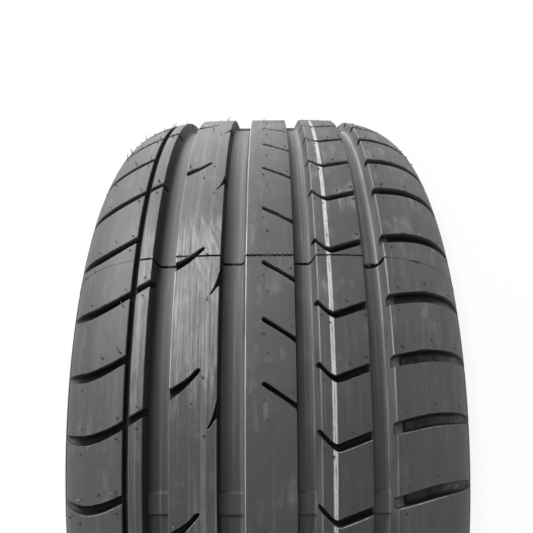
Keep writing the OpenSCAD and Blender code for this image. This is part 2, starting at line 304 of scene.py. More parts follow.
def cutMesh(name, shape):
    # a trough with drafted walls, a rounded floor and a soft lip where it meets the crown
    soft = cutSoft
    points = []
    for u in shape["at"]:
        high, low, depth = glide(shape["high"], u), glide(shape["low"], u), glide(shape["floor"], u)
        width = max(high - low, 0.05)
        draft = min(shape["draft"], width * 0.22)
        top, base = crown(u), crown(u) - depth
        lip = min(soft["lip"], width * 0.4)
        corner = min(soft["corner"], width * 0.2)
        knee = base + max(soft["knee"], min(soft["corner"], depth * 0.2))
        # one wall from over the crown down to the floor, as (way out from the edge, r)
        wall = [(lip * 1.3, top + soft["lipRise"]), (lip * 0.7, top + 0.12),
                (0.0, max(top - soft["lipDrop"], knee + 0.1)), (-draft, knee), (-draft - corner, base)]
        ring = [(high + away, max(r, base)) for away, r in wall]
        ring += [(low - away, max(r, base)) for away, r in reversed(wall)]
        ring += [(low - lip * 1.3, top + soft["lid"]), (high + lip * 1.3, top + soft["lid"])]
        points += [placed(u, t, r) for t, r in ring]
    sections = len(shape["at"])
    return linkMesh(name, points, [], tubeFaces(sections, len(points) // sections))


# Pitch order: short, middle and long pitches in a mixed row so that the tread does not hum
pitchRow = {
    "order": "10220011012201" "00121001102010" "22211010021001" "01201102001211",
    "sizes": (0.936, 1.008, 1.094), "rightStart": 225.9, "leftStart": 227.9, "missingSlot": 7,
    # degrees from the start of the pitch to each kind of cut
    "angledShift": 5.95, "crossShift": 3.3, "slotShift": -4.8, "notchShift": 0.4,
}


def pitchTurns(start, shift):
    order = [int(code) for code in pitchRow["order"]]
    sizes = [pitchRow["sizes"][order[(i + shift) % len(order)]] for i in range(len(order))]
    whole, turns, at = sum(sizes), [], 0.0
    for size in sizes:
        turns.append(start + at * 360 / whole)
        at += size
    return turns


rightTurns = pitchTurns(pitchRow["rightStart"], 0)
leftTurns = pitchTurns(pitchRow["leftStart"], len(pitchRow["order"]) // 2)


def evenTurns(values):
    return [values["first"] + i * 360 / values["count"] for i in range(values["count"])]


def placesObject(name, turns):
    made = linkMesh(name, [(0, 0, 0)] * len(turns), [], [])
    spread = made.data.attributes.new("turn", "FLOAT", "POINT")
    spread.data.foreach_set("value", [math.radians(t) for t in turns])
    return made


def newTree(name, inputs):
    tree = bpy.data.node_groups.new(name, "GeometryNodeTree")
    tree.interface.new_socket("Geometry", in_out="INPUT", socket_type="NodeSocketGeometry")
    tree.interface.new_socket("Geometry", in_out="OUTPUT", socket_type="NodeSocketGeometry")
    for label, kind, value in inputs:
        socket = tree.interface.new_socket(label, in_out="INPUT", socket_type=kind)
        if value is not None:
            socket.default_value = value
    return tree, Wire(tree).node("NodeGroupInput")


def closeTree(tree, last):
    Wire(tree).node("NodeGroupOutput", None, {0: last})


def given(start, label):
    # geometry of the object that an input names
    info = start.node("GeometryNodeObjectInfo", {"transform_space": "ORIGINAL"}, {"Object": start.out(label)})
    return info.out("Geometry")


def dressed(start, geometry, label, selection=True):
    # gives faces the material that an input names
    return start.node("GeometryNodeSetMaterial", None,
                      {"Geometry": geometry, "Selection": selection, "Material": start.out(label)})


def grow(made, tree, values):
    # runs the tree on an object and keeps the result as a plain mesh
    modifier = made.modifiers.new(tree.name, "NODES")
    modifier.node_group = tree
    for item in tree.interface.items_tree:
        if item.in_out == "INPUT" and item.name in values:
            modifier[item.identifier] = values[item.name]
    depsgraph = bpy.context.evaluated_depsgraph_get()
    ready = made.evaluated_get(depsgraph)
    mesh = bpy.data.meshes.new_from_object(ready, preserve_all_data_layers=False, depsgraph=depsgraph)
    name = made.name
    bpy.data.objects.remove(made)
    result = bpy.data.objects.new(name, mesh)
    bpy.context.scene.collection.objects.link(result)
    return result


def rowTree():
    # copies one piece round the axle at the turns that a row of points carries
    tree, start = newTree("pitchRing", [
        ("Places", "NodeSocketObject", None), ("Rubber", "NodeSocketMaterial", None)])
    turn = start.node("GeometryNodeInputNamedAttribute", {"data_type": "FLOAT"}, {"Name": "turn"})
    spin = start.node("ShaderNodeCombineXYZ", None, {"Z": turn})
    copies = start.node("GeometryNodeInstanceOnPoints", None,
                        {"Points": given(start, "Places"), "Instance": start.out("Geometry"), "Rotation": spin})
    real = start.node("GeometryNodeRealizeInstances", None, {"Geometry": copies})
    closeTree(tree, dressed(start, real, "Rubber"))
    return tree


# The lining's border in the section, in metres: how far from the middle and from the axle it goes
liningEdge = {"side": 0.092, "sideRadius": 0.228, "sideSlope": 0.4, "toeRadius": 0.2215,
              "shoulder": 0.09, "shoulderSlope": 0.9, "crownRadius": 0.3035}


def tyreTree():
    # sweeps the section round the axle, adds the wear bars and mould lines, cuts the pattern
    tree, start = newTree("tyreRing", [
        ("Ring Radius", "NodeSocketFloat", 0.2183), ("Ring Steps", "NodeSocketInt", 252),
        ("Added", "NodeSocketObject", None), ("Cuts", "NodeSocketObject", None),
        ("Sharp Angle", "NodeSocketFloat", 0.55), ("Rubber", "NodeSocketMaterial", None),
        ("Cut Rubber", "NodeSocketMaterial", None), ("Liner Rubber", "NodeSocketMaterial", None)])
    outline = start.node("GeometryNodeMeshToCurve", None, {"Mesh": start.out("Geometry")})
    circle = start.node("GeometryNodeCurvePrimitiveCircle", {"mode": "RADIUS"},
                        {"Resolution": start.out("Ring Steps"), "Radius": start.out("Ring Radius")})
    rail = start.node("GeometryNodeSetCurveNormal", {"mode": "Z_UP"}, {"Curve": circle})
    ring = start.node("GeometryNodeCurveToMesh", None, {"Curve": rail, "Profile Curve": outline})
    ring = start.node("GeometryNodeFlipFaces", None, {"Mesh": ring})
    marked = start.node("GeometryNodeStoreNamedAttribute", {"data_type": "BOOLEAN", "domain": "FACE"},
                        {"Geometry": given(start, "Cuts"), "Name": "inCut", "Value": True})
    whole = start.node("GeometryNodeMeshBoolean", {"operation": "UNION", "solver": "MANIFOLD"},
                       {"Mesh 2": [ring, given(start, "Added")]})
    cut = start.node("GeometryNodeMeshBoolean", {"operation": "DIFFERENCE", "solver": "MANIFOLD"},
                     {"Mesh 1": whole, "Mesh 2": marked})
    smooth = start.node("GeometryNodeSetShadeSmooth", {"domain": "FACE"},
                        {"Geometry": cut, "Shade Smooth": True})
    angle = start.node("GeometryNodeInputMeshEdgeAngle").out("Unsigned Angle")
    sharp = start.node("FunctionNodeCompare", {"data_type": "FLOAT", "operation": "GREATER_THAN"},
                       {0: angle, 1: start.out("Sharp Angle")})
    crisp = start.node("GeometryNodeSetShadeSmooth", {"domain": "EDGE"},
                       {"Geometry": smooth, "Selection": sharp, "Shade Smooth": False})
    real = start.node("GeometryNodeRealizeInstances", None, {"Geometry": crisp})
    inCut = start.node("GeometryNodeInputNamedAttribute", {"data_type": "BOOLEAN"}, {"Name": "inCut"})
    carved = dressed(start, dressed(start, real, "Rubber"), "Cut Rubber", inCut)
    # the lining: all faces deep under the crown and inward of the beads
    parts = start.node("ShaderNodeSeparateXYZ", None, {0: start.node("GeometryNodeInputPosition")})
    x, y, z = parts.out("X"), parts.out("Y"), parts.out("Z")
    out = start.math("SQRT", x * x + y * y)
    side = start.math("ABSOLUTE", z - tyreShape["halfWidth"] * mm)
    edge = liningEdge
    lined = start.math("LESS_THAN", side - edge["side"], (out - edge["sideRadius"]) * edge["sideSlope"])
    lined = lined * start.math("GREATER_THAN", out, edge["toeRadius"])
    corner = start.math("MAXIMUM", side - edge["shoulder"], 0) * edge["shoulderSlope"]
    lined = lined * start.math("LESS_THAN", out + corner, edge["crownRadius"])
    lined = lined * start.math("SUBTRACT", 1.0, inCut)
    closeTree(tree, dressed(start, carved, "Liner Rubber", lined))
    return tree


# Wear bars and mould lines
barSizes = {"height": 1.6, "length": 11.0, "count": 6, "first": 215.0}
mouldLines = {"height": 0.28, "width": 0.8, "count": 8, "first": 251.65, "teeth": 0.45,
              "toothedFrom": -10, "toothedTo": 14}


def barMesh():
    points, faces = [], []
    half, height = barSizes["length"] / 2, barSizes["height"]
    for left, right, leftRun, rightRun in tyreShape["grooves"]:
        floor = min(crown(left), crown(right)) - tyreShape["grooveDepth"]
        start = len(points)
        for u in (left - 1, right + 1):
            for t, r in ((-half - 0.8, floor - 1.5), (-half - 0.8, floor - 0.01),
                         (-half + 0.6, floor + height), (half - 0.6, floor + height),
                         (half + 0.8, floor - 0.01), (half + 0.8, floor - 1.5)):
                points.append(placed(u, t, r))
        for j in range(6):
            faces.append((start + j, start + (j + 1) % 6, start + 6 + (j + 1) % 6, start + 6 + j))
        faces += [tuple(start + j for j in reversed(range(6))), tuple(start + 6 + j for j in range(6))]
    return linkMesh("wearBars", points, [], faces)


def ridgeMesh():
    # a thin flash line across the tread, toothed on the middle rib as mould halves leave it
    line = [p for p in treadLine() if abs(p[0]) < 111]
    fine = []
    for (u, r), (v, q) in zip(line, line[1:]):
        parts = 3 if abs(u) < 14 and abs(v) < 15 and abs(u - v) > 2 else 1
        fine += [(u + (v - u) * i / parts, r + (q - r) * i / parts) for i in range(parts)]
    fine.append(line[-1])
    points = []
    for i, (u, r) in enumerate(fine):
        a, b = fine[max(i - 1, 0)], fine[min(i + 1, len(fine) - 1)]
        along = Vector((b[0] - a[0], b[1] - a[1])).normalized()
        out = Vector((-along.y, along.x))
        toothed = mouldLines["toothedFrom"] < u < mouldLines["toothedTo"]
        side = mouldLines["teeth"] * (1 if i % 2 else -1) if toothed else 0.0
        half = mouldLines["width"] / 2
        top = mouldLines["height"] * (1.0 if abs(u) < 64 else 0.4)
        for t, lift in ((side - half, -0.4), (side, top), (side + half, -0.4)):
            points.append(placed(u + out.x * lift, t, r + out.y * lift))
    return linkMesh("mouldLine", points, [], tubeFaces(len(fine), 3))


# Vent hairs and stubs
# every small hole that let air out of the mould leaves a hair of rubber, or its stub
ventLook = {"share": 0.9, "hairShare": 0.45, "seed": 7, "width": 0.72, "stub": 0.85, "hair": 3.2,
            "smallest": 0.7, "largest": 1.25,
            "foot": (0.004, 0.004, 0.004, 1), "tip": (0.13, 0.13, 0.128, 1)}
# places beside each cut as (u, length round the tyre) in millimetres
ventPlaces = {
    "angledCut": [(48.4, 13.2), (40.5, 9.8), (49.2, 2.4), (31.4, -2.2), (27.4, 1.9)],
    "rightCross": [(66.8, -8.6), (67.2, 4.6), (98.5, 9.2), (99.5, -4.6), (83, 9.6)],
    "leftCross": [(-72.4, 3.6), (-72.6, -6.8), (-92, -1.2), (-93, -14.4), (-82, 1.6), (-101, -13)],
    "leftLongCross": [(-72.4, 3.6), (-72.6, -6.8), (-92, -1.2), (-93, -14.4), (-62.5, 9.4), (-62.5, -1.6)],
    "middleSlot": [(12.4, -3.9), (-1.4, -7.5), (0.6, -17.5)],
    "leftRibSlot": [(-45.0, -4.8), (-30.5, -4.2)],
    "leftRibNotch": [(-29.6, -3.4), (-36, 12)],
}


def ventPoints(rows):
    points, ups = [], []
    for name, turns in rows:
        for turn in turns:
            for u, t in ventPlaces[name]:
                angle = math.radians(turn) - t / tyreShape["outerRadius"]
                x, y = math.cos(angle), math.sin(angle)
                slope = (crown(u + 0.1) - crown(u - 0.1)) / 0.2
                length = math.hypot(1, slope)
                points.append((crown(u) * x * mm, crown(u) * y * mm, (u + tyreShape["halfWidth"]) * mm))
                ups.append((x / length, y / length, -slope / length))
    made = linkMesh("ventPlaces", points, [], [])
    spread = made.data.attributes.new("up", "FLOAT_VECTOR", "POINT")
    spread.data.foreach_set("vector", [value for up in ups for value in up])
    return made


def ventMesh(name, height, lean, sides, levels):
    # a skirt that lies flat on the rubber, then a thin stem that bends over and narrows to its end
    points = []
    wide = ventLook["width"] / 2
    rings = [(0.0, -0.1, wide * 2.3), (0.0, 0.05, wide * 2.1), (0.0, 0.07, wide)]
    for i in range(1, levels + 1):
        part = i / levels
        rise = height * (part - 0.25 * lean * part * part)
        rings.append((lean * height * part ** 1.6, rise, wide * (1 - 0.45 * part)))
    for offset, level, half in rings:
        for j in range(sides):
            turn = j * 2 * math.pi / sides
            points.append(((offset + half * math.cos(turn)) * mm, half * math.sin(turn) * mm, level * mm))
    faces = tubeFaces(len(rings), sides)
    made = linkMesh(name, points, [], faces)
    tip = [max(0.0, min(1.0, (z / mm - 0.1) / height * 1.6)) for x, y, z in points]
    made.data.attributes.new("tip", "FLOAT", "POINT").data.foreach_set("value", tip)
    return made


def ventTree():
    # keeps a random share of the places and stands one piece on each, turned at random
    tree, start = newTree("ventRows", [
        ("Places", "NodeSocketObject", None), ("Rubber", "NodeSocketMaterial", None),
        ("From", "NodeSocketFloat", 0.0), ("To", "NodeSocketFloat", 1.0), ("Seed", "NodeSocketInt", 0)])

    def randomly(low, high, seed):
        return start.node("FunctionNodeRandomValue", {"data_type": "FLOAT"},
                          {2: low, 3: high, "Seed": seed}, out=1)
    wholeTurn = 6.28
    draw = randomly(0.0, 1.0, start.out("Seed"))
    kept = start.math("MULTIPLY", start.math("GREATER_THAN", draw, start.out("From")),
                      start.math("LESS_THAN", draw, start.out("To")))
    up = start.node("GeometryNodeInputNamedAttribute", {"data_type": "FLOAT_VECTOR"}, {"Name": "up"})
    stand = start.node("FunctionNodeAlignRotationToVector", {"axis": "Z"}, {"Vector": up})
    size = randomly(ventLook["smallest"], ventLook["largest"], start.out("Seed") + 5)
    copies = start.node("GeometryNodeInstanceOnPoints", None, {
        "Points": given(start, "Places"), "Selection": kept, "Instance": start.out("Geometry"),
        "Rotation": stand, "Scale": size})
    spin = start.node("ShaderNodeCombineXYZ", None, {"Z": randomly(0.0, wholeTurn, start.out("Seed") + 9)})
    turned = start.node("GeometryNodeRotateInstances", None,
                        {"Instances": copies, "Rotation": spin, "Local Space": True})
    real = start.node("GeometryNodeRealizeInstances", None, {"Geometry": turned})
    closeTree(tree, dressed(start, real, "Rubber"))
    return tree


def joined(name, parts):
    # one mesh from several, with every normal outward
    work = bmesh.new()
    for part in parts:
        work.from_mesh(part.data)
        bpy.data.objects.remove(part)
    bmesh.ops.recalc_face_normals(work, faces=work.faces)
    made = linkMesh(name, [], [], [])
    work.to_mesh(made.data)
    work.free()
    return made


# Materials
# edge is the pale of painted highlights and worn edges, inside the black of painted shade in corners and deep
# cuts and of soot, line the black of the painted shadow along the mould lines
rubberLook = {"dark": (0.021, 0.021, 0.022, 1), "worn": (0.045, 0.045, 0.046, 1),
              "dust": (0.17, 0.168, 0.162, 1), "rubbed": (0.28, 0.28, 0.275, 1),
              "edge": (0.46, 0.46, 0.455, 1), "inside": (0.005, 0.005, 0.0055, 1),
              "line": (0.004, 0.004, 0.004, 1), "paint": (0.36, 0.36, 0.35, 1),
              "paintCore": (0.13, 0.13, 0.13, 1), "paintAt": 32.4, "paintHalf": 1.08, "roughness": 0.54,
              "bladderRidges": 3.2, "bladderSlant": 0.45}


# Where the marks lie: spans across the tread in millimetres
markSpans = {"leftRibs": (-66.4, -23.9), "narrowRib": (-66.4, -59.7), "paintedRib": (26, 50.2),
             "lastGroove": (50.5, 62), "seamShadow": (-66.6, 63), "shoulderDash": (76, 82), "paleLips": (-58, -22)}
# and angles round the tyre in degrees, from none of a mark to all of it; the photo looks from -90 to -54
wearAngles = {"starts": (-87, -82.5), "grows": (-80, -73), "fades": (-71, -65), "behind": (20, 80),
              "crossed": (-78, -73), "dust": (-84, -72), "sideDust": (-86, -70),
              "sootBegins": (-140, -110), "sootEnds": (-89, -76)}


def newMaterial(name):
    made = bpy.data.materials.new(name)
    made.use_nodes = True
    made.node_tree.nodes.clear()
    return made, Wire(made.node_tree)


def relief(w, height, strength, distance):
    return w.node("ShaderNodeBump", None, {"Height": height, "Strength": strength, "Distance": distance})


def principled(w, colour, rough, bump, specular):
    return w.node("ShaderNodeBsdfPrincipled", None, {
        "Base Color": colour, "Roughness": rough, "Normal": bump, "Specular IOR Level": specular})


def surface(w, shader):
    w.node("ShaderNodeOutputMaterial", None, {"Surface": shader})


def highest(w, marks):
    top = marks[0]
    for mark in marks[1:]:
        top = w.math("MAXIMUM", top, mark)
    return top


def noise(wire, place, scale, detail=3.0, roughness=0.5, distortion=0.0):
    return wire.node("ShaderNodeTexNoise", None, {"Vector": place, "Scale": scale, "Detail": detail,
                                                  "Roughness": roughness, "Distortion": distortion})


def stretched(wire, place, around, across):
    # stretches a pattern round the tyre: high numbers are fine
    return wire.node("ShaderNodeMapping", {"vector_type": "POINT"},
                     {"Vector": place, "Scale": (around, around, across)})


def tyrePlace(w):
    # place on the tyre: u across in mm, r in mm, angle round in degrees, depth under the crown in mm
    s = tyreShape
    place = w.node("ShaderNodeTexCoord").out("Object")
    parts = w.node("ShaderNodeSeparateXYZ", None, {0: place})
    x, y, z = parts.out("X"), parts.out("Y"), parts.out("Z")
    r = w.math("SQRT", x * x + y * y) * 1000
    u = s["halfWidth"] - z * 1000
    angle = w.math("ARCTAN2", y, x) * (180 / math.pi)
    wide = w.math("MINIMUM", w.math("ABSOLUTE", u) / s["halfWidth"], 0.9999)
    rise = (1 - wide ** s["crownFlatness"]) ** (1 / s["shoulderRoundness"])
    depth = (s["wideRadius"] + rise * (s["outerRadius"] - s["wideRadius"])) - r
    return place, u, r, angle, depth


def drawn(w, u, angle, along, across, lean=0.0):
    # flat place on the tread for strokes that run round the tyre, leaning if asked, scales per mm
    run = angle * (math.pi / 180 * tyreShape["outerRadius"])
    return w.node("ShaderNodeCombineXYZ", None, {"X": run * along, "Y": (u + run * lean) * across})


def within(value, low, high, soft):
    return value.step(low - soft, low + soft) * (1 - value.step(high - soft, high + soft))


def nearTread(depth):
    # 1 on the tread and in its grooves, 0 on the sidewalls and the lining
    return 1 - depth.step(*tyreShape["treadEnds"])


def mouldLineShadow(w, place, u, r, angle, depth):
    # painted shadow along every mould line, where two parts of the tread mould meet
    first, apart = 180 - mouldLines["first"], 360 / mouldLines["count"]
    turn = w.math("FRACT", (angle - first) / apart + 8.5) - 0.5
    along = turn * math.radians(apart) * r
    teeth = w.math("PINGPONG", u + 20, 1.3) - 0.65
    toothed = within(u, mouldLines["toothedFrom"], mouldLines["toothedTo"], 0.5)
    wave = noise(w, stretched(w, place, 40, 90), 1.0, 2.0, 0.5) - 0.5
    away = w.math("ABSOLUTE", along + teeth * toothed * 0.8 + wave * 0.7)
    blob = within(u, *markSpans["lastGroove"], 0.5) * noise(w, place, 300, 2.0, 0.5).step(0.4, 0.6)
    onPainted = within(u, *markSpans["paintedRib"], 0.5)
    width = 0.45 + 0.3 * depth.step(1.0, 2.0) - 0.12 * onPainted + blob * 0.9
    dash = within(u, *markSpans["shoulderDash"], 1.5)
    broken = 0.55 + 0.45 * noise(w, place, 260, 2.0, 0.5).step(0.40, 0.52)
    middle = within(u, *markSpans["seamShadow"], 1.0)
    return (1 - (away - width).step(0.0, 0.25)) * (0.05 + 0.95 * middle + 0.6 * dash) * broken


def edgeHighlightAndWear(w, place, u, depth, worn):
    # painted highlight on the edges, walls and wall feet that face the light, and pale wear on the edges where
    # handling rubbed them
    edges = [(groove[1], groove[3]) for groove in tyreShape["grooves"]] + [(tyreShape["thinGroove"][1], 0.3)]
    broken = noise(w, stretched(w, place, 30, 500), 1.0, 3.0, 0.6).step(0.3, 0.62)
    top = 1 - depth.step(0.7, 1.2)
    # strength on each edge: painted highlight by itself, wear where it was handled, and painted highlight at
    # the foot of the wall
    looks = ((0.2, 0.8, 0.12), (0.85, 0.45, 0.12), (0.35, 0.2, 0.3), (0.42, 0.24, 0.42), (0.25, 0.14, 0.0))
    marks = []
    for (edge, run), (plain, handled, shine) in zip(edges, looks):
        lip = within(u, edge - 0.6, edge + 0.35, 0.2) * top * (plain + handled * worn)
        wall = within(u, edge - run - 0.5, edge + 0.1, 0.25) * (1 - top) * 0.17
        foot = within(u, edge - run - 0.5, edge - run + 0.25, 0.2) * (1 - top) * shine
        marks += [lip, wall, foot]
    return highest(w, marks) * (0.35 + 0.65 * broken) * nearTread(depth)


def shadeMark(w, u, depth):
    # painted shade in the corner under the wall that faces away from the light, and all through the thin groove
    marks = [within(u, tyreShape["thinGroove"][0], tyreShape["thinGroove"][1], 0.3)]
    for groove, reach in zip(tyreShape["grooves"], (7.2, 8.5, 4.6, 3.2)):
        foot = groove[0] + groove[2]
        marks.append(u.step(groove[0] - 0.6, groove[0]) * (1 - u.step(foot, foot + reach)))
    return highest(w, marks) * depth.step(0.5, 1.2) * nearTread(depth)


def paintMark(w, place, u):
    # the painted line that sorts tyres in the store, thicker at its two edges: the line and its thin core
    look = rubberLook
    edge = noise(w, place, 900, 3.0, 0.7) * 0.7 + noise(w, place, 160, 2.0, 0.5) * 0.5 - 0.6
    drift = 0.35 * noise(w, stretched(w, place, 30, 1), 1.0, 2.0, 0.5)
    away = w.math("ABSOLUTE", u - look["paintAt"] + drift - 0.17)
    line = 1 - (away + edge * 0.7).step(look["paintHalf"] - 0.4, look["paintHalf"] + 0.25)
    gaps = noise(w, place, 620, 4.0, 0.75).step(0.54, 0.68)
    core = (1 - away.step(0.15, 0.5)) * noise(w, stretched(w, place, 60, 400), 1.0, 3.0, 0.7).step(0.42, 0.6)
    return line * (1 - gaps * 0.6), core


def treadRubber():
    made, w = newMaterial("treadRubber")
    look, wear = rubberLook, wearAngles
    place, u, r, angle, depth = tyrePlace(w)
    onTread = 1 - depth.step(0.25, 0.7)

    def strokes(along, across, detail, roughness, lean=0.0, distortion=0.0):
        return noise(w, drawn(w, u, angle, along, across, lean), 1.0, detail, roughness, distortion)

    fine = noise(w, place, 1400, 2.0, 0.6)
    grain = noise(w, place, 420, 3.0, 0.6)
    cloud = noise(w, place, 14, 4.0, 0.6)
    rub = noise(w, stretched(w, place, 9, 420), 1.0, 3.0, 0.65)
    scuff = noise(w, stretched(w, place, 26, 160), 1.0, 4.0, 0.7, 0.6)
    scratch = strokes(0.004, 0.55, 3.0, 0.75)

    # how strongly the rubber was handled: most in the middle of what the photo shows, not behind
    patch = strokes(0.03, 0.08, 3.0, 0.6)
    uneven = angle + 14 * (strokes(0.05, 0.35, 3.0, 0.6) - 0.5)
    upper = uneven.step(*wear["fades"])
    worn = (uneven.step(*wear["starts"]) * 0.82 + uneven.step(*wear["grows"]) * 0.33) * (1 - 0.88 * upper)
    worn = worn * (1 - uneven.step(*wear["behind"]))

    # rubbed pale on the two ribs of the left half, in strokes along the tread and across it
    brush = strokes(0.025, 1.1, 5.0, 0.8, 0.0, 0.3)
    across = strokes(0.05, 0.9, 5.0, 0.8, 0.36, 0.4)
    stroke = patch.step(0.5, 0.56) * (0.2 + 0.8 * angle.step(*wear["crossed"]))
    hatch = brush * (1 - stroke * 0.8) + across * stroke * 0.8
    blot = strokes(0.11, 0.24, 3.0, 0.6).step(0.36, 0.62)
    leftRibs = within(u, *markSpans["leftRibs"], 0.25)
    rubbed = leftRibs * worn * (1 - 0.28 * within(u, *markSpans["narrowRib"], 0.3)) * onTread
    rubbed = rubbed * (0.5 + 0.3 * patch.step(0.4, 0.6) + 0.3 * blot) * (0.15 + 0.85 * hatch.step(0.36, 0.66))
    lines = scratch.step(0.58, 0.66) * (0.12 + 0.88 * leftRibs) * (0.3 + 0.7 * rub.step(0.42, 0.6))
    band = strokes(0.002, 0.28, 2.0, 0.7).step(0.52, 0.6) * leftRibs * onTread

    # grey of the rubber itself, with painted light that makes it lighter to the shoulders
    streaks = rub.step(0.52, 0.78) * scuff.step(0.4, 0.75) * onTread
    sides = w.math("ABSOLUTE", u).step(60, 76)
    body = (cloud * 0.5 + streaks * 0.8 + sides * 0.35).blend(look["dark"], look["worn"])
    body = (fine.step(0.42, 0.62) * 0.35).blend(body, look["worn"])

    # dust in specks, blots and streaks, and soot on the rib beside the painted line
    dusty = grain.step(0.60, 0.86) * (0.12 + 0.3 * cloud.step(0.45, 0.7))
    sideStreak = strokes(0.012, 0.22, 4.0, 0.65).step(0.48, 0.72) * sides * onTread
    sideStreak = sideStreak * (0.4 + 0.9 * patch.step(0.45, 0.6))
    mottle = noise(w, place, 55, 4.0, 0.65).step(0.46, 0.7) * strokes(0.02, 0.3, 3.0, 0.6).step(0.4, 0.65)
    rightHalf = u.step(25, 27)
    blotch = strokes(0.05, 0.16, 5.0, 0.65).step(0.5, 0.68) * cloud.step(0.4, 0.6) * rightHalf
    high = 0.3 + 0.7 * uneven.step(*wear["dust"])
    spots = mottle * (0.3 + 0.25 * rightHalf) * (1 - rightHalf * (1 - high))
    spots = spots + blotch * (0.22 + 0.2 * sides) * high
    sideDust = sides * uneven.step(*wear["sideDust"])
    body = ((spots + 0.075 * sideDust) * onTread).blend(body, look["dust"])
    sooty = within(u, *markSpans["paintedRib"], 0.3) * (1 - uneven.step(*wear["sootEnds"]))
    body = (sooty * uneven.step(*wear["sootBegins"]) * onTread * 0.26).blend(body, look["inside"])
    sideScuff = sides * onTread * scuff.step(0.45, 0.85)
    body = (dusty * 0.6 + sideStreak * 0.16 + sideScuff * 0.10).blend(body, look["dust"])
    floorStreak = strokes(0.006, 0.45, 3.0, 0.7).step(0.45, 0.7) * depth.step(4.5, 6)
    body = (floorStreak * 0.35 * nearTread(depth)).blend(body, look["dust"])

    # what handling and the mould left lies over the dust
    body = (rubbed * 0.85).blend(body, look["rubbed"])
    body = (band * (0.16 - 0.1 * upper)).blend(body, look["rubbed"])
    body = (lines * (0.45 - 0.25 * upper)).blend(body, look["rubbed"])
    # painted highlight on the groove edges and walls that face the light, with pale wear where handled
    body = (edgeHighlightAndWear(w, place, u, depth, worn) * 0.8).blend(body, look["edge"])
    # painted shade in the groove corners under the walls that face away from the light
    body = (shadeMark(w, u, depth) * 0.93).blend(body, look["inside"])
    # painted shadow along the mould lines, darkening the colour there
    seamShadow = mouldLineShadow(w, place, u, r, angle, depth) * nearTread(depth)
    body = (seamShadow * 0.94).blend(body, look["line"])
    painted, core = paintMark(w, place, u)
    painted = painted * onTread * (1 - seamShadow)
    colour = painted.blend(body, core.blend(look["paint"], look["paintCore"]))

    # fine turning marks on the sidewall
    wall = depth.step(*tyreShape["sidewallBegins"])
    turning = noise(w, w.node("ShaderNodeCombineXYZ", None, {"X": r * 0.9, "Y": angle * 0.02}), 1.0, 4.0, 0.7)
    colour = (wall * (0.25 * turning + 0.35 * cloud.step(0.4, 0.7))).blend(colour, look["worn"])
    rough = look["roughness"] + 0.1 * cloud + painted * 0.2 + rubbed * 0.12 - streaks * 0.08
    height = fine * 0.25 + grain * 0.5 + painted * 0.6 - seamShadow * 1.6 + rubbed * 0.6 + lines * 0.3
    bump = relief(w, height + wall * turning * 0.8, 0.35, 0.00025)
    shader = principled(w, colour, rough, bump, 0.45)
    # a dull near-black shader mixed in along the mould lines as painted shadow
    shadowShader = principled(w, look["line"], 0.9, bump, 0.05)
    surface(w, w.node("ShaderNodeMixShader", None, {0: seamShadow, 1: shader, 2: shadowShader}))
    return made


def cutRubber():
    # clean black faces inside the cuts, with a pale lip of painted highlight broken by chipped wear and painted
    # shade that grows darker with depth
    made, w = newMaterial("cutRubber")
    look = rubberLook
    place, u, r, _, depth = tyrePlace(w)
    cloud = noise(w, place, 60, 3.0, 0.6)
    fine = noise(w, place, 900, 3.0, 0.6)
    chipped = noise(w, place, 210, 3.0, 0.6).step(0.38, 0.6)
    # painted shade: the faces grow darker the deeper they lie in the cut
    colour = (depth.step(0.6, 3.0) * 0.95).blend(look["worn"], look["inside"])
    # dust on the outward-facing floors of the shoulder cuts, with painted light that makes them paler where
    # they are shallow and most where they run out
    normal = w.node("ShaderNodeSeparateXYZ", None, {0: w.node("ShaderNodeTexCoord").out("Normal")})
    parts = w.node("ShaderNodeSeparateXYZ", None, {0: place})
    facing = (normal.out("X") * parts.out("X") + normal.out("Y") * parts.out("Y")) / r * 1000
    rightFloor = u.step(60, 63) * (0.2 + 0.22 * (1 - depth.step(3.6, 6.2)) + 0.2 * u.step(84, 96))
    leftFloor = (1 - u.step(-90, -84)) * (1 - depth.step(2.4, 4.6)) * 0.45
    floorDustAndLight = facing.step(0.55, 0.9) * (rightFloor + leftFloor)
    colour = (floorDustAndLight * (0.6 + 0.6 * chipped)).blend(colour, look["dust"])
    ends = w.math("ABSOLUTE", u).step(88, 96)
    # pale lip: painted highlight, broken by chipped wear, weaker at the outer ends
    lip = (1 - depth.step(0.35, 0.7)) * (0.25 + 0.75 * chipped) * (1 - 0.7 * ends)
    colour = (lip * (0.5 + 0.35 * within(u, *markSpans["paleLips"], 1.0))).blend(colour, look["edge"])
    surface(w, principled(w, colour, 0.6 + 0.15 * cloud, relief(w, fine, 0.2, 0.0002), 0.12))
    return made


def linerRubber():
    # smooth lining with the fine slanting ridges that the curing bladder prints on it
    made, w = newMaterial("linerRubber")
    look = rubberLook
    place, u, _, angle, _ = tyrePlace(w)
    apart = look["bladderRidges"]
    run = angle * (math.pi / 180 * tyreShape["seatRadius"])
    wave = noise(w, place, 30, 2.0, 0.5) - 0.5
    slant = w.math("PINGPONG", run + u * look["bladderSlant"] + 500 + wave * 3, apart) / apart
    ridge = slant.step(0.82, 0.97)
    bloom = noise(w, place, 9, 4.0, 0.6)
    fine = noise(w, place, 700, 3.0, 0.6)
    colour = (bloom.step(0.35, 0.75) * 0.6).blend(look["dark"], look["worn"])
    colour = (ridge * 0.25).blend(colour, look["worn"])
    bump = relief(w, ridge + fine * 0.15, 0.45, 0.0005)
    surface(w, principled(w, colour, 0.38 + 0.2 * bloom, bump, 0.45))
    return made


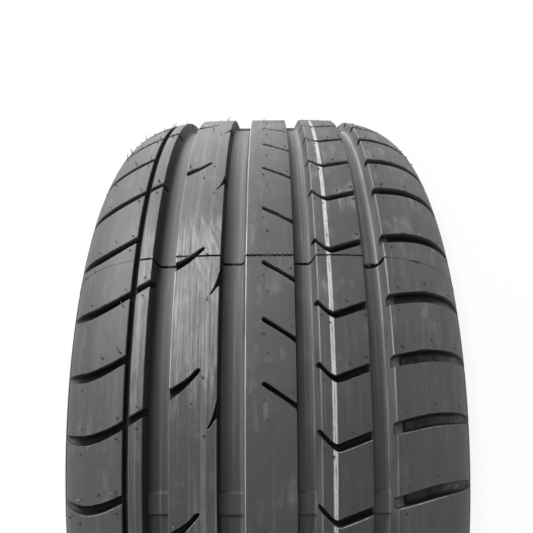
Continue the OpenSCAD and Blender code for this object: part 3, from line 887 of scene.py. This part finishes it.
def ventRubber():
    # dark where the vent left its ring, paler to the torn end
    made, w = newMaterial("ventRubber")
    tip = w.node("ShaderNodeAttribute", {"attribute_name": "tip"}, out=2)
    place = w.node("ShaderNodeTexCoord").out("Object")
    grain = noise(w, place, 900, 3.0, 0.6)
    colour = (tip * (0.3 + grain)).blend(ventLook["foot"], ventLook["tip"])
    surface(w, principled(w, colour, 0.42 + 0.1 * grain, relief(w, grain, 0.3, 0.0002), 0.5))
    return made


def seenRays(w):
    # 1 for rays from the camera, from gloss or through glass, 0 for light that falls on things
    rays = w.node("ShaderNodeLightPath")
    straight = rays.out("Is Camera Ray") + rays.out("Is Glossy Ray") + rays.out("Is Transmission Ray")
    return w.math("MINIMUM", straight, 1.0)


def floorPaper():
    # pale floor that reads as white to the camera and keeps the shadow
    made, w = newMaterial("floorPaper")
    seen = seenRays(w)
    plain = w.node("ShaderNodeBsdfDiffuse", None, {"Color": (0.86, 0.86, 0.86, 1)})
    white = w.node("ShaderNodeEmission", None, {"Color": (1, 1, 1, 1), "Strength": 1.0})
    place = w.node("ShaderNodeTexCoord").out("Object")
    parts = w.node("ShaderNodeSeparateXYZ", None, {0: place})
    x, y = parts.out("X"), parts.out("Y")
    far = w.math("SQRT", x * x + y * y).step(0.35, 1.1)
    surface(w, w.node("ShaderNodeMixShader", None, {0: seen * (0.92 + 0.08 * far), 1: plain, 2: white}))
    return made


# Build the tyre
rubber = treadRubber()
cutBlack = cutRubber()
ventBlack = ventRubber()
liner = linerRubber()
row = rowTree()
cutRows = [
    ("middleSlot", [t for i, t in enumerate(rightTurns) if i != pitchRow["missingSlot"]]),
    ("angledCut", [t + pitchRow["angledShift"] for t in rightTurns]),
    ("rightCross", [t + pitchRow["crossShift"] for t in rightTurns]),
    ("leftLongCross", leftTurns[0::2]),
    ("leftCross", leftTurns[1::2]),
    ("leftRibSlot", [t + pitchRow["slotShift"] for t in leftTurns[0::2]]),
    ("leftRibNotch", [t + pitchRow["notchShift"] for t in leftTurns[0::2]]),
]
rows = []
for cutName, turns in cutRows:
    places = placesObject(cutName + "Places", turns)
    rows.append(grow(cutMesh(cutName, cutShapes[cutName]), row, {"Places": places, "Rubber": rubber}))
    bpy.data.objects.remove(places)
cuts = joined("treadCuts", rows)
print("cuts ready:", len(cuts.data.polygons), "faces")

vents = ventTree()
leftSpots = ventPoints([rowOf for rowOf in cutRows if rowOf[0].startswith("left")])
otherSpots = ventPoints([rowOf for rowOf in cutRows if not rowOf[0].startswith("left")])
ventPieces = []
for ventName, spots, height, lean, sides, levels, low, high in (
        ("leftStubs", leftSpots, ventLook["stub"], 0.1, 5, 2, ventLook["hairShare"], ventLook["share"]),
        ("leftHairs", leftSpots, ventLook["hair"], 0.75, 4, 4, 0.0, ventLook["hairShare"]),
        ("otherStubs", otherSpots, ventLook["stub"], 0.1, 5, 2, 0.0, ventLook["share"])):
    ventPieces.append(grow(ventMesh(ventName, height, lean, sides, levels), vents, {
        "Places": spots, "From": low, "To": high, "Seed": ventLook["seed"], "Rubber": ventBlack}))
for spots in (leftSpots, otherSpots):
    bpy.data.objects.remove(spots)
print("vents ready:", sum(len(piece.data.polygons) for piece in ventPieces), "faces")

barPlaces = placesObject("barPlaces", evenTurns(barSizes))
linePlaces = placesObject("linePlaces", evenTurns(mouldLines))
bars = grow(barMesh(), row, {"Places": barPlaces, "Rubber": rubber})
ridges = grow(ridgeMesh(), row, {"Places": linePlaces, "Rubber": rubber})
added = joined("barsAndLines", [bars, ridges])

section = sectionPoints()
ringRadius = tyreShape["seatRadius"]
outline = [((r - ringRadius) * mm, -(u + tyreShape["halfWidth"]) * mm, 0) for u, r in section]
tyre = linkMesh("tyreBody", outline, [(i, (i + 1) % len(outline)) for i in range(len(outline))], [])
tyre = grow(tyre, tyreTree(), {
    "Ring Radius": ringRadius * mm, "Ring Steps": tyreShape["ringSteps"], "Added": added, "Cuts": cuts,
    "Sharp Angle": tyreShape["sharpAngle"], "Rubber": rubber, "Cut Rubber": cutBlack, "Liner Rubber": liner})
for spent in (barPlaces, linePlaces, added, cuts):
    bpy.data.objects.remove(spent)
# the tyre lies on its right sidewall, so the whole pattern turns over about the view line
turnOver = Matrix.Translation((0, 0, 2 * tyreShape["halfWidth"] * mm)) @ Matrix.Rotation(math.pi, 4, "Y")
for piece in [tyre] + ventPieces:
    piece.data.transform(turnOver)
print("tyre ready:", len(tyre.data.polygons), "faces")

for piece in [tyre] + ventPieces:
    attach(piece, "root")
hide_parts("tyre")

# Floor and lights
stage = {"floorHalf": 6.0, "ambient": 0.142,
         "key": {"at": (1.55, -1.25, 1.15), "to": (0.1, -0.2, 0.11), "size": (1.3, 1.3), "power": 70},
         "side": {"at": (2.0, 0.2, 0.45), "to": (0.12, -0.2, 0.11), "size": (1.2, 0.8), "power": 11},
         "fill": {"at": (0.1, -2.3, 1.7), "to": (0, 0, 0.1), "size": (1.6, 1.6), "power": 8},
         "back": {"at": (-1.3, 2.0, 1.5), "to": (-0.05, 0.2, 0.11), "size": (1.5, 1.5), "power": 38}}

reach = stage["floorHalf"]
corners = [(-reach, -reach, 0), (reach, -reach, 0), (reach, reach, 0), (-reach, reach, 0)]
floor = linkMesh("paleFloor", corners, [], [(0, 1, 2, 3)])
floor.data.materials.append(floorPaper())

for lampName in ("key", "side", "fill", "back"):
    lamp = stage[lampName]
    data = bpy.data.lights.new(lampName + "Lamp", "AREA")
    data.shape, data.energy = "RECTANGLE", lamp["power"]
    data.size, data.size_y = lamp["size"]
    made = bpy.data.objects.new(lampName + "Lamp", data)
    bpy.context.scene.collection.objects.link(made)
    made.location = lamp["at"]
    made.rotation_euler = (Vector(lamp["to"]) - Vector(lamp["at"])).to_track_quat("-Z", "Y").to_euler()

world = bpy.data.worlds.new("studio")
world.use_nodes = True
world.node_tree.nodes.clear()
sky = Wire(world.node_tree)
bright = stage["ambient"] + (1 - stage["ambient"]) * seenRays(sky)
air = sky.node("ShaderNodeBackground", None, {"Color": (1, 1, 1, 1), "Strength": bright})
sky.node("ShaderNodeOutputWorld", None, {"Surface": air})
bpy.context.scene.world = world

# Camera, taken from the lines and outlines of the photograph, as pixels of its 533 by 533 frame
view = {"place": (0, -0.540, 0.1115), "pitch": 4.07, "yaw": -0.31, "roll": -0.33, "focal": 472.2,
        "middle": (266.3, 413.9), "frame": 533, "sensor": 36}
pitch, yaw, roll = (math.radians(view[k]) for k in ("pitch", "yaw", "roll"))
forward = Vector((math.sin(pitch), math.cos(yaw) * math.cos(pitch), -math.sin(yaw) * math.cos(pitch)))
level = Vector((0, -math.sin(yaw), -math.cos(yaw)))
upward = level.cross(forward)
right = math.cos(roll) * level + math.sin(roll) * upward
upward = -math.sin(roll) * level + math.cos(roll) * upward
cameraData = bpy.data.cameras.new("photoCamera")
camera = bpy.data.objects.new("photoCamera", cameraData)
bpy.context.scene.collection.objects.link(camera)
cameraData.sensor_width = view["sensor"]
cameraData.lens = view["focal"] / view["frame"] * view["sensor"]
cameraData.shift_x = (view["frame"] / 2 - view["middle"][0]) / view["frame"]
cameraData.shift_y = (view["middle"][1] - view["frame"] / 2) / view["frame"]
cameraData.clip_start = 0.01
turned = [[right[i], upward[i], -forward[i]] for i in range(3)]
camera.matrix_world = Matrix.Translation(view["place"]) @ Matrix(turned).to_4x4()
bpy.context.scene.camera = camera
bpy.context.scene.view_settings.view_transform = "Standard"
